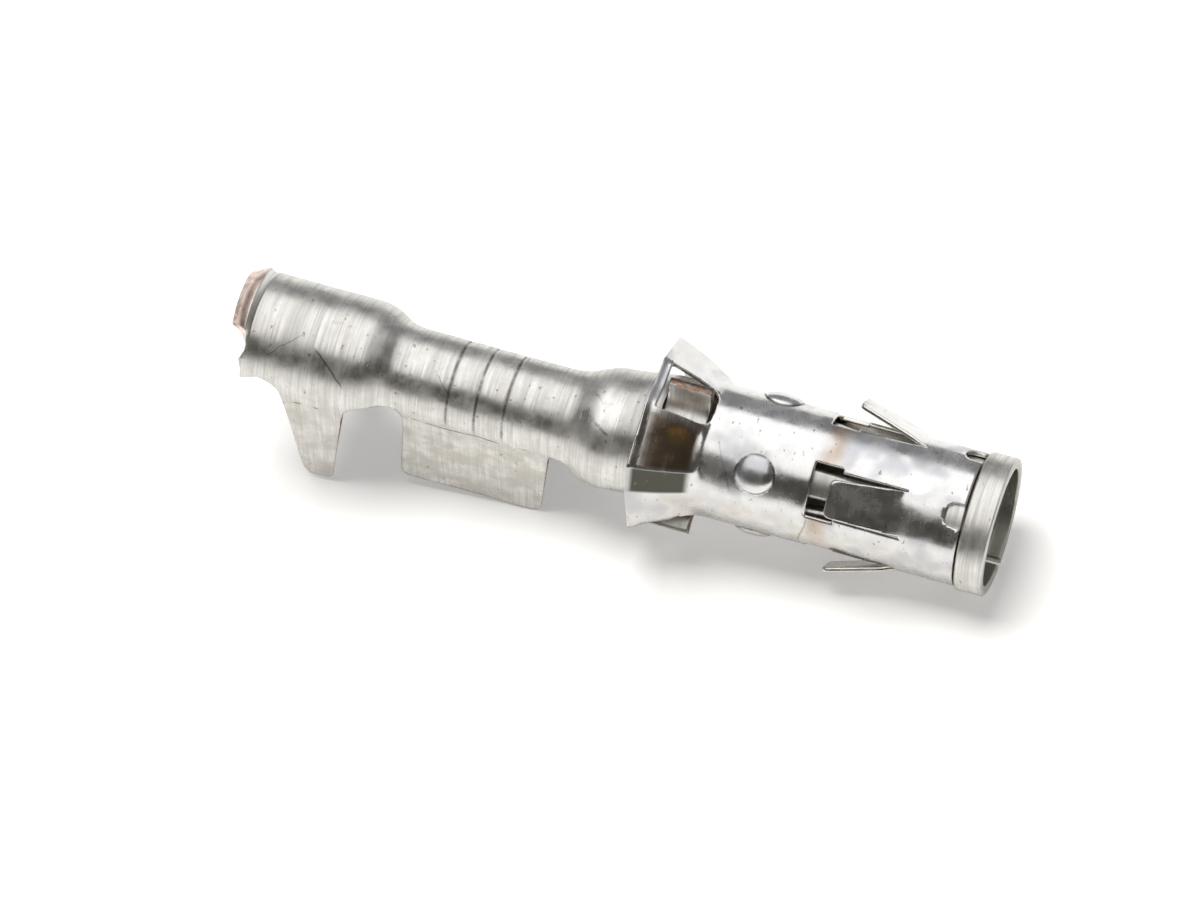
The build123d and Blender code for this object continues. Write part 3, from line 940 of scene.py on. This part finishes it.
# places on the pattern are (station, width), with the width from the top, positive on the near side
tinLook = {
    "lineDensity": 20.0,
    "dullTin": (0.65, 0.64, 0.61),
    "brightTin": (0.83, 0.82, 0.795),
    "streak": (0.38, 0.37, 0.345),
    # painted shade on the low wings, with cloudy tone
    "wing": (0.47, 0.445, 0.40),
    # painted shade in the step behind the mouth ring
    "stepShade": (0.12, 0.09, 0.07),
    # painted shade in the grip grooves
    "groove": (0.15, 0.14, 0.13),
    # painted shade on the inner walls
    "insideShade": (0.29, 0.30, 0.255),
    "speck": (0.20, 0.18, 0.155),
    "brownCopper": ((0.10, 0.065, 0.045), (0.45, 0.26, 0.18)),
    "freshCopper": ((0.80, 0.54, 0.45), (0.95, 0.80, 0.73)),
    "scratch": (0.13, 0.12, 0.11),
    "scratches": (            # start, end, half width, darkness
        ((21.45, 1.16), (20.3, 2.25), 0.035, 0.75), ((12.65, 0.95), (11.95, 1.4), 0.04, 0.8),
        ((17.7, 0.9), (16.9, 1.9), 0.02, 0.5), ((22.9, 1.9), (21.9, 0.9), 0.02, 0.45),
    ),
    "wingFoldShade": (0.14, 0.12, 0.10),
    "bendWidth": 3.5,
    "bendLines": ((14.3, 18.6), (20.7, 22.2)),   # broken lines of painted shade where the wings were folded
    "rust": (0.42, 0.20, 0.08),
    "rustLine": ((12.75, 0.12), (12.3, 0.45), 0.04),
    "stain": (0.34, 0.16, 0.10),
    "stainSpot": ((20.8, 0.07), (0.5, 0.3)),
    # rubbed spot: smoother, and lightened as a painted highlight
    "rubbedAndHighlight": (0.88, 0.875, 0.86),
    "rubbedAndHighlightSpot": ((12.35, 0.72), (0.95, 0.75)),
}


def tinFinish(group):
    look = tinLook
    material, w, place, (station, width, layer), masks, cut = startFinish(
        "tinnedCopper", group, look["lineDensity"])
    lines, blotches, specks, height = masks
    outside = w.minus(1.0, layer)
    offTop = w.maths("ABSOLUTE", width)
    colour = w.tint(look["dullTin"], look["brightTin"], blotches)
    colour = w.tint(colour, look["streak"], lines, 0.5)
    # the wings are warmer and cloudier than the barrels: painted shade darkens the low sides, in cloudy
    # patches
    clouds = w.noise(place, 0.9, 4.0, 0.65, (7, 3, 0))
    onWing = w.times(w.remap(offTop, 2.9, 3.7), w.remap(clouds, 0.4, 0.62, 0.15, 0.75))
    colour = w.tint(colour, look["wing"], onWing)
    # painted shade in the step behind the mouth ring
    step = w.times(w.closeTo(station, 0.9, 0.02, 0.09), outside, 0.8)
    colour = w.tint(colour, look["stepShade"], step)
    # three dark lines of painted shade where the grip grooves show through the barrel, gone before the wings
    first, last, pitch = 14.9, 17.6, 0.9
    beat = w.maths("MODULO", w.minus(station, first), pitch)
    inBand = w.times(w.maths("GREATER_THAN", station, first), w.maths("LESS_THAN", station, last))
    wobble = w.noise(place, 2.2, 3.0, 0.6, (0, 4, 0), (0.4, 1, 1))
    grooves = w.times(w.closeTo(beat, pitch / 2, 0.015, 0.07), inBand, w.remap(wobble, 0.25, 0.6, 0.25, 0.9))
    colour = w.tint(colour, look["groove"], grooves, w.remap(offTop, 2.7, 3.6, 1.0, 0.0))
    wander = w.noise(place, 0.8, 3.0, 0.6, (1, 8, 0))
    gaps = w.noise(place, 2.6, 3.0, 0.6, (6, 1, 0))
    for start, end, half, dark in look["scratches"]:
        mark = scratchMark(w, station, width, wander, start, end, half)
        colour = w.tint(colour, look["scratch"], mark, dark)
    broken = w.remap(gaps, 0.42, 0.55, 0.0, 0.85)
    # broken lines of painted shade along the wing folds
    for side in (look["bendWidth"], -look["bendWidth"]):
        for start, end in look["bendLines"]:
            mark = scratchMark(w, station, width, wander, (start, side), (end, side), 0.035)
            colour = w.tint(colour, look["wingFoldShade"], mark, broken)
    rust = scratchMark(w, station, width, wander, *look["rustLine"])
    colour = w.tint(colour, look["rust"], rust, 0.7)
    stain = spotMark(w, station, width, *look["stainSpot"])
    colour = w.tint(colour, look["stain"], stain, w.remap(gaps, 0.5, 0.62, 0.0, 0.6))
    # a rubbed spot on the neck: smoother, and lightened as a painted highlight
    rubbedAndHighlight = spotMark(w, station, width, *look["rubbedAndHighlightSpot"])
    rubbedAndHighlight = w.times(rubbedAndHighlight, outside, w.remap(gaps, 0.3, 0.55, 0.45, 1.0))
    colour = w.tint(colour, look["rubbedAndHighlight"], rubbedAndHighlight, 0.75)
    # painted shade on the inner walls
    colour = w.tint(colour, look["insideShade"], layer, 0.6)
    colour = w.tint(colour, look["speck"], specks, 0.6)
    # sheared faces: bare copper, brown along the sides and fresh on the cut-off tab
    smear = w.noise(place, 3.5, 4.0, 0.6, (2, 6, 0))
    bare = w.times(w.remap(cut, 0.45, 0.8), w.remap(smear, 0.38, 0.52, 0.45, 1.0),
                   w.remap(station, 0.3, 1.2, 0.22, 1.0))
    brown = w.tint(*look["brownCopper"], w.remap(smear, 0.42, 0.7))
    fresh = w.tint(*look["freshCopper"], w.remap(smear, 0.35, 0.6))
    colour = w.tint(colour, w.tint(brown, fresh, w.remap(station, 23.35, 23.6)), bare)
    rough = w.plus(w.times(lines, 0.14), w.times(blotches, 0.12), 0.25)
    endFinish(w, colour, w.minus(rough, w.times(rubbedAndHighlight, 0.08)), height, 0.45)
    return material


steelLook = {
    "lineDensity": 9.0,
    "dullSteel": (0.66, 0.66, 0.665),
    "brightSteel": (0.80, 0.795, 0.785),
    "coolPatch": (0.42, 0.43, 0.47),
    # painted floor reflection and painted shade low on the sleeve
    "lowFloorReflection": (0.50, 0.465, 0.41),
    "straw": (0.46, 0.37, 0.29),
    "strawRing": 5.2,         # station of a faint ring behind the windows
    "collarReflectionFront": 9.1,         # where the painted reflections on the collar's sloping faces begin
    # painted reflection of the dark warm room on the collar's near facet
    "brownReflection": (0.30, 0.20, 0.115),
    "brownWidths": (0.62, 2.02),
    # painted dark reflection on the collar's lower facet
    "oliveReflection": (0.05, 0.049, 0.034),
    "oliveWidths": (2.06, 2.72),
    "glint": (1.0, 0.60, 0.20),
    "glintSpot": ((9.7, 1.12), (0.46, 0.34)),
    "dimpleWidth": 1.61,      # pattern width of the dimples from the top, and from the bottom
    # painted shade round the dimples
    "dimpleFoldShade": (0.20, 0.18, 0.16),
    "scratch": (0.26, 0.22, 0.18),
    "scratches": (((8.6, 0.9), (7.9, 2.4), 0.02, 0.4), ((5.5, 2.55), (5.75, 3.9), 0.03, 0.6)),
    # painted highlight near the dent at the front of the sleeve
    "rubbedAndHighlight": (0.93, 0.93, 0.925),
    "rubbedAndHighlightSpot": ((2.5, 0.62), (0.5, 0.34)),
    "speck": (0.18, 0.16, 0.14),
    # painted shade on the inner walls
    "insideShade": (0.34, 0.31, 0.26),
    # painted highlight on the sheared faces
    "cutFace": (0.80, 0.775, 0.72),
}


def steelFinish(group):
    look = steelLook
    material, w, place, (station, width, layer), masks, cut = startFinish(
        "springSteel", group, look["lineDensity"])
    lines, blotches, specks, height = masks
    offTop = w.maths("ABSOLUTE", width)
    colour = w.tint(look["dullSteel"], look["brightSteel"], blotches)
    # cool grey patches above; low down, beige patches of painted floor reflection and painted shade
    patches = w.noise(place, 0.62, 2.5, 0.55, (4, 9, 0))
    colour = w.tint(colour, look["coolPatch"], w.remap(patches, 0.48, 0.66, 0.0, 0.6))
    low = w.times(w.remap(offTop, 2.4, 3.3), w.remap(patches, 0.36, 0.56, 0.9, 0.3))
    colour = w.tint(colour, look["lowFloorReflection"], low)
    straw = w.times(w.closeTo(station, look["strawRing"], 0.05, 0.5), w.remap(patches, 0.35, 0.6, 0.15, 0.8))
    colour = w.tint(colour, look["straw"], straw)
    # painted dark brown and near-black reflections on the collar, with a painted warm glint
    onCollar = w.remap(station, look["collarReflectionFront"], look["collarReflectionFront"] + 0.25)
    inner, outer = look["brownWidths"]
    brown = w.times(w.remap(width, inner, inner + 0.3), w.remap(width, outer - 0.08, outer, 1.0, 0.0),
                    onCollar, w.remap(station, 10.3, 10.75, 0.85, 0.2))
    colour = w.tint(colour, look["brownReflection"], brown)
    # painted reflection of a warm glint
    glint = spotMark(w, station, width, *look["glintSpot"])
    colour = w.tint(colour, look["glint"], glint, w.remap(patches, 0.40, 0.55, 0.25, 1.0))
    # painted dark reflection on the facet below
    inner, outer = look["oliveWidths"]
    olive = w.times(w.remap(width, inner - 0.05, inner + 0.03),
                    w.remap(width, outer - 0.05, outer + 0.05, 1.0, 0.0),
                    w.remap(station, 10.72, 10.88, 1.0, 0.3), onCollar, 0.95)
    colour = w.tint(colour, look["oliveReflection"], olive)
    # painted shade in the fold round each dimple
    half = look["dimpleWidth"]
    dw = w.minus(w.maths("ABSOLUTE", w.minus(offTop, 2 * half)), half)
    ds = w.minus(station, sleeveSizes["dimpleStation"])
    far = w.maths("SQRT", w.plus(w.times(dw, dw), w.times(ds, ds)))
    dimpleRingShade = w.closeTo(far, sleeveSizes["dimpleRadius"] + 0.005, 0.01, 0.05)
    colour = w.tint(colour, look["dimpleFoldShade"], dimpleRingShade, w.remap(blotches, 0.0, 0.8, 0.35, 0.9))
    wander = w.noise(place, 0.8, 3.0, 0.6, (1, 8, 0))
    for start, end, half, dark in look["scratches"]:
        mark = scratchMark(w, station, width, wander, start, end, half)
        colour = w.tint(colour, look["scratch"], mark, dark)
    # painted highlight, a lightened spot near the front dent
    rubbedAndHighlight = spotMark(w, station, width, *look["rubbedAndHighlightSpot"])
    colour = w.tint(colour, look["rubbedAndHighlight"], rubbedAndHighlight, w.remap(wander, 0.3, 0.6, 0.4, 1.0))
    colour = w.tint(colour, look["speck"], specks, 0.7)
    # painted shade on the inner walls
    colour = w.tint(colour, look["insideShade"], layer, 0.5)
    # painted highlight: sheared faces lightened to a pale cream
    colour = w.tint(colour, look["cutFace"], cut, 0.7)
    rough = w.plus(w.times(blotches, 0.12), w.times(lines, 0.05), 0.15,
                   w.times(w.remap(patches, 0.5, 0.64), 0.10))
    endFinish(w, colour, rough, height, 0.3)
    return material


viewSettings = {
    "turn": 57.01,            # the camera's direction round the axis, from the near side
    "lean": 11.599,           # how far it looks along the axis
    "roll": 15.469,
    "distance": 176.347,
    "pixelsPerMm": 33.136,
    "targetStation": 12.0,
    "targetPixel": (620.976, 423.124),
    "frame": (1200, 900),
}


def toWorldVector(local):
    return axisOut * local.x + axisSide * local.y + axisUp * local.z


def makeCamera():
    v = viewSettings
    turn, lean, roll = radians(v["turn"]), radians(v["lean"]), radians(v["roll"])
    toCamera = Vector((sin(lean), -cos(lean) * cos(turn), cos(lean) * sin(turn)))
    along = Vector((1, 0, 0))
    along = (along - toCamera * along.dot(toCamera)).normalized()
    across = toCamera.cross(along)
    right = along * cos(roll) + across * sin(roll)
    up = across * cos(roll) - along * sin(roll)
    target = Vector((-v["targetStation"], 0, 0))
    s = v["pixelsPerMm"]
    px, py = v["targetPixel"]
    wide, high = v["frame"]
    spot = target - right * (px - wide / 2) / s + up * (py - high / 2) / s + toCamera * v["distance"]
    camera = addObject("camera", bpy.data.cameras.new("camera"))
    camera.data.sensor_width = 36
    camera.data.lens = 36 * s * v["distance"] / wide
    camera.data.clip_start = 0.01
    camera.data.clip_end = 10
    turned = Matrix((toWorldVector(right), toWorldVector(up), toWorldVector(toCamera))).transposed()
    camera.matrix_world = Matrix.Translation(setInPlace(-spot.x, spot.y, spot.z)) @ turned.to_4x4()
    bpy.context.scene.camera = camera


lightSettings = {
    # the room is dark towards the camera, dim behind the part and open above it
    "nearRoom": (0.078, 0.072, 0.062),
    "farRoom": (0.27, 0.27, 0.275),
    "backdrop": (0.985, 0.985, 0.98),
    "boxes": (
        # name, place in metres, size, power in watts, colour, what it lights
        ("overheadBox", (-0.06, 0.03, 0.40), (0.56, 0.735), 1.62, (1.0, 0.992, 0.98), "metal"),
        ("shadowBox", (-0.07, 0.05, 0.42), (0.23, 0.23), 1.9, (1.0, 0.985, 0.965), "table"),
    ),
}


def makeLights():
    world = bpy.data.worlds.new("studio")
    bpy.context.scene.world = world
    w = emptyTree(world)
    heading = w.add("ShaderNodeTexCoord").outputs["Generated"]
    parts = w.add("ShaderNodeSeparateXYZ", {0: heading})
    far = w.remap(parts.outputs["Y"], -0.35, 0.55)
    room = w.add("ShaderNodeBackground", {
        "Color": w.tint(lightSettings["nearRoom"], lightSettings["farRoom"], far),
    })
    white = w.add("ShaderNodeBackground", {"Color": lightSettings["backdrop"]})
    path = w.add("ShaderNodeLightPath")
    mix = w.add("ShaderNodeMixShader", {
        0: path.outputs["Is Camera Ray"], 1: room.outputs[0], 2: white.outputs[0],
    })
    w.add("ShaderNodeOutputWorld", {0: mix.outputs[0]})
    for name, place, size, power, colour, target in lightSettings["boxes"]:
        lamp = bpy.data.lights.new(name, "AREA")
        lamp.shape = "RECTANGLE"
        lamp.size, lamp.size_y = size
        lamp.energy = power
        lamp.color = colour
        holder = addObject(name, lamp)
        holder.location = place
        holder.visible_glossy = target == "metal"
        holder.visible_diffuse = target == "table"


floorSettings = {
    "half": 2.0,
    "paper": (0.80, 0.80, 0.79),
    "glow": (0.99, 0.985, 0.975),
    "glowStrength": 0.36,     # only for what the camera and the metal see
}


def makeFloor():
    f = floorSettings
    mesh = bpy.data.meshes.new("floor")
    half = f["half"]
    corners = [(-half, -half, 0), (half, -half, 0), (half, half, 0), (-half, half, 0)]
    mesh.from_pydata(corners, [], [(0, 1, 2, 3)])
    floor = addObject("floor", mesh)
    material = bpy.data.materials.new("paleTable")
    w = emptyTree(material)
    paper = w.add("ShaderNodeBsdfDiffuse", {"Color": f["paper"]})
    path = w.add("ShaderNodeLightPath").outputs
    seen = w.maths("MAXIMUM", path["Is Camera Ray"], path["Is Glossy Ray"])
    glow = w.add("ShaderNodeEmission", {"Color": f["glow"], "Strength": w.times(seen, f["glowStrength"])})
    both = w.add("ShaderNodeAddShader", {0: paper.outputs[0], 1: glow.outputs[0]})
    w.add("ShaderNodeOutputMaterial", {0: both.outputs[0]})
    mesh.materials.append(material)


makeCamera()
makeFloor()
makeLights()
print("camera, floor and lights ready")
brushedMetal = brushedGroup()
tin = tinFinish(brushedMetal)
steel = steelFinish(brushedMetal)

contact = makeContact()
contact.data.materials.append(tin)
fingers = makeFingers(tin)
sleeve = makeSleeve()
sleeve.data.materials.append(steel)

joined = bmesh.new()
joined.from_mesh(contact.data)
joined.from_mesh(fingers.data)
joined.to_mesh(contact.data)
joined.free()
bpy.data.objects.remove(fingers)
contact.name = "crimpContact"

for piece, node, slotName in (
    (contact, "contact_body", "tinned_copper"), (sleeve, "locking_sleeve", "spring_steel"),
):
    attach(piece, "root")
    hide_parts(node)
print("pieces placed")

bpy.context.scene.view_settings.view_transform = "Standard"
